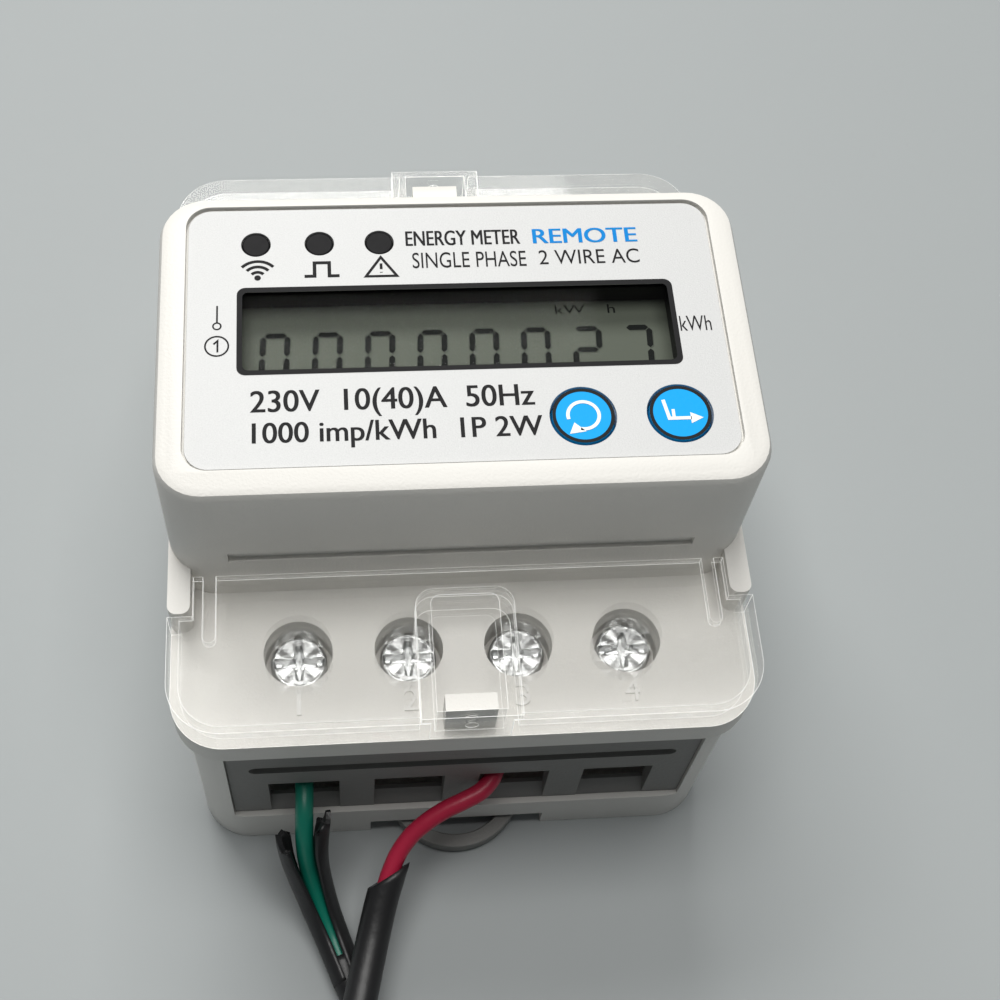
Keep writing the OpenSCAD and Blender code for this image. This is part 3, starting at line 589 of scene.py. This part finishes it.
def segment(which):
    """One of the seven bars: a hexagon whose pointed ends meet its neighbours at half a gap."""
    w, h, b = DIGIT_W, DIGIT_H, BAR / 2
    ends = {"a": ((0, h), (w, h)), "b": ((w, h), (w, h / 2)), "c": ((w, h / 2), (w, 0)),
            "d": ((0, 0), (w, 0)), "e": ((0, h / 2), (0, 0)), "f": ((0, h), (0, h / 2)),
            "g": ((0, h / 2), (w, h / 2))}[which]
    one, two = (np.clip(np.array(e, float), b, np.array([w, h]) - b) for e in ends)
    on = (two - one) / np.linalg.norm(two - one)
    off = np.array([-on[1], on[0]]) * b
    one, two = one + on * 0.1, two - on * 0.1
    near, far = one + on * b, two - on * b
    return np.array([one, near - off, far - off, two, far + off, near + off])


bars = [segment(s) * [1, 1] + [DIGIT_X + k * DIGIT_STEP, DIGIT_Y - DIGIT_H]
        for k, figure in enumerate("00000027") for s in LIT[figure]]
bars = [b + np.column_stack([(b[:, 1] - DIGIT_Y) * 0.05, np.zeros(len(b))]) for b in bars]
# The painted shadow of the segments, shifted a little and printed just under the digits on the cell.
printed("display_shadow", [b + [0.12, -0.2] for b in bars], CELL_TOP + 0.02, segment_painted_shadow, BACK)
printed("display_digits", bars, CELL_TOP + 0.04, segment_ink, BACK)
lettering("display_unit_power", "kW", 13.4, 17.4, 5.9, 7.3, CELL_TOP + 0.04, segment_ink, BACK)
lettering("display_unit_hour", "h", 20.4, 21.4, 5.9, 7.3, CELL_TOP + 0.04, segment_ink, BACK)
pane = Finish("display_pane", (0.02, 0.02, 0.02), 0.04, Specular_IOR_Level=0.2)
turned = pane.add("ShaderNodeLayerWeight", {}, {"Blend": 0.3}, out="Facing")
pane.paint(Alpha=0.04 + 0.1 * turned * turned)
softened("display_window", pane, 0.1 * MM)

# ---- The indicators and the buttons -----------------------------------------------------------
# Three smoked windows over the diodes, and two blue caps in black-ringed holes with white signs.
smoke = Finish("smoked_window", (0.009, 0.009, 0.01), 0.5, Specular_IOR_Level=0.1).speckled(900, 0.00003)
softened("indicator_lenses", smoke, 0.25 * MM, 3)
button_blue = Finish("button_blue", (0.001, 0.39, 0.88), 0.5, Specular_IOR_Level=0.15)
button_blue.speckled(1800, 0.00002, 0.03, 0.08)
BUTTON_Y = -12.5
sign_white = Finish("sign_white", (0.9, 0.92, 0.93), 0.4).speckled(1800, 0.00001)
for button, (x, sign) in {"reset": (14.7, "turn"), "next": (26.9, "step")}.items():
    softened(f"button_{button}", button_blue, 0.12 * MM)
    low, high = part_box(f"button_{button}")
    top = float(high[2]) / MM + 0.02
    y = BUTTON_Y
    outer, inner_edge = (arc(x, y, r, 0, 360, 49)[:-1] for r in (3.89, 3.45))
    printed(f"button_{button}_ring", band(outer, inner_edge), top, ink_black, BACK, f"{button}_button")
    if sign == "turn":
        lines = stripes(arc(x, y, 1.95, -105, 195, 40), 0.44)
        heads = [np.array([[x - 1.95, y - 2.6], [x + 0.15, y - 2.3], [x - 1.25, y - 1.0]])]
    else:
        lines = stripes([[x - 2.0, y + 1.9], [x - 1.5, y - 0.8], [x + 1.3, y - 0.8]], 0.46)
        lines += stripes([[x - 0.9, y + 0.5], [x - 0.9, y - 0.57]], 0.4)
        heads = [np.array([[x + 1.2, y - 1.6], [x + 2.8, y - 0.8], [x + 1.2, y]])]
    printed(f"button_{button}_sign", lines + heads, top + 0.03, sign_white, "white_plastic",
            f"{button}_button")

# ---- What is inside ---------------------------------------------------------------------------
# Two boards carry the metering and radio parts. All of it is hidden once the case is screwed
# together, so these pieces keep their plain shapes and get the finish of their material.
board_green = Finish("board_green", (0.02, 0.13, 0.06), 0.35).speckled(500, 0.00002)
diode_clear = Finish("diode_clear", (0.75, 0.76, 0.74), 0.15).speckled(400, 0.00001)
relay_black = Finish("relay_black", (0.03, 0.03, 0.032), 0.4).speckled(1500, 0.00003)
core_iron = Finish("core_iron", (0.16, 0.16, 0.17), 0.5, Metallic=0.7).speckled(900, 0.00004)
winding_yellow = Finish("winding_yellow", (0.72, 0.42, 0.06), 0.35).speckled(900, 0.00003)
capacitor_sleeve = Finish("capacitor_sleeve", (0.03, 0.035, 0.1), 0.3).speckled(500, 0.00002)
varistor_blue = Finish("varistor_blue", (0.03, 0.1, 0.32), 0.45).speckled(900, 0.00005)
contact_rubber = Finish("contact_rubber", (0.6, 0.42, 0.38), 0.6).speckled(1200, 0.00003)
terminal_green = Finish("terminal_green", (0.04, 0.2, 0.09), 0.45).speckled(1800, 0.00004)
guide_white = Finish("guide_white", (0.8, 0.8, 0.78), 0.45).speckled(1500, 0.00002)
bar_copper = Finish("bar_copper", (0.75, 0.42, 0.26), 0.32, Metallic=1.0).speckled(1100, 0.00003)
inner = {board_green: ["display_board", "main_board"], diode_clear: ["indicator_leds"],
         relay_black: ["relay", "switch_bodies", "control_chips", "board_link_header"],
         zinc: ["wireless_module", "din_clip_spring", "case_screws", "pulse_terminal_screws"],
         core_iron: ["transformer_core"], winding_yellow: ["transformer_winding", "film_capacitor"],
         capacitor_sleeve: ["electrolytic_capacitors"], varistor_blue: ["varistor"],
         contact_rubber: ["lcd_contact_strips"], terminal_green: ["pulse_terminal_block"],
         guide_white: ["lcd_backlight", "switch_plunger_reset", "switch_plunger_next"],
         bar_copper: [f"busbar_{n}" for n in range(1, 5)] + ["green_conductor", "red_conductor"]}
for finish, names in inner.items():
    for name in names:
        nodes[name].data.materials.clear()
        nodes[name].data.materials.append(finish.material)
softened("lead_tie", guide_white, 0.3 * MM)

# ---- The table and the light ------------------------------------------------------------------
# A pale grey table under a large soft window behind the meter and a weak even sky.
table_grey = Finish("table_grey", (0.35, 0.374, 0.378), 0.6).speckled(300, 0.00002, 0.01, 0.04)
REACH, DROP = 2, 0.00003
corners = [[-REACH, -REACH, -DROP], [REACH, -REACH, -DROP], [REACH, REACH, -DROP], [-REACH, REACH, -DROP]]
floor = shaped("table_top", corners, [[0, 1, 2, 3]], table_grey.material, False)
world = bpy.data.worlds.new("sky")
world.use_nodes = True
world.node_tree.nodes["Background"].inputs["Color"].default_value = (0.93, 0.97, 1, 1)
world.node_tree.nodes["Background"].inputs["Strength"].default_value = 0.11
bpy.context.scene.world = world
bpy.context.scene.view_settings.view_transform = "Standard"


def window_light(name, place, aim, width, depth, power, tint):
    """A soft rectangle of light at a place, facing the point that it is aimed at."""
    light = bpy.data.objects.new(name, bpy.data.lights.new(name, "AREA"))
    light.data.shape, light.data.size, light.data.size_y = "RECTANGLE", width, depth
    light.data.energy, light.data.color = power, tint
    light.location = place
    light.rotation_euler = (Vector(aim) - Vector(place)).to_track_quat("-Z", "Y").to_euler()
    bpy.context.scene.collection.objects.link(light)


window_light("window_behind", (-0.25, 1.15, 1.5), (0, 0, 0.03), 1.1, 0.6, 25, (1, 0.99, 0.97))
window_light("ceiling", (0.0, 0.1, 1.5), (0, 0, 0.03), 1.0, 0.6, 14, (1, 0.99, 0.97))
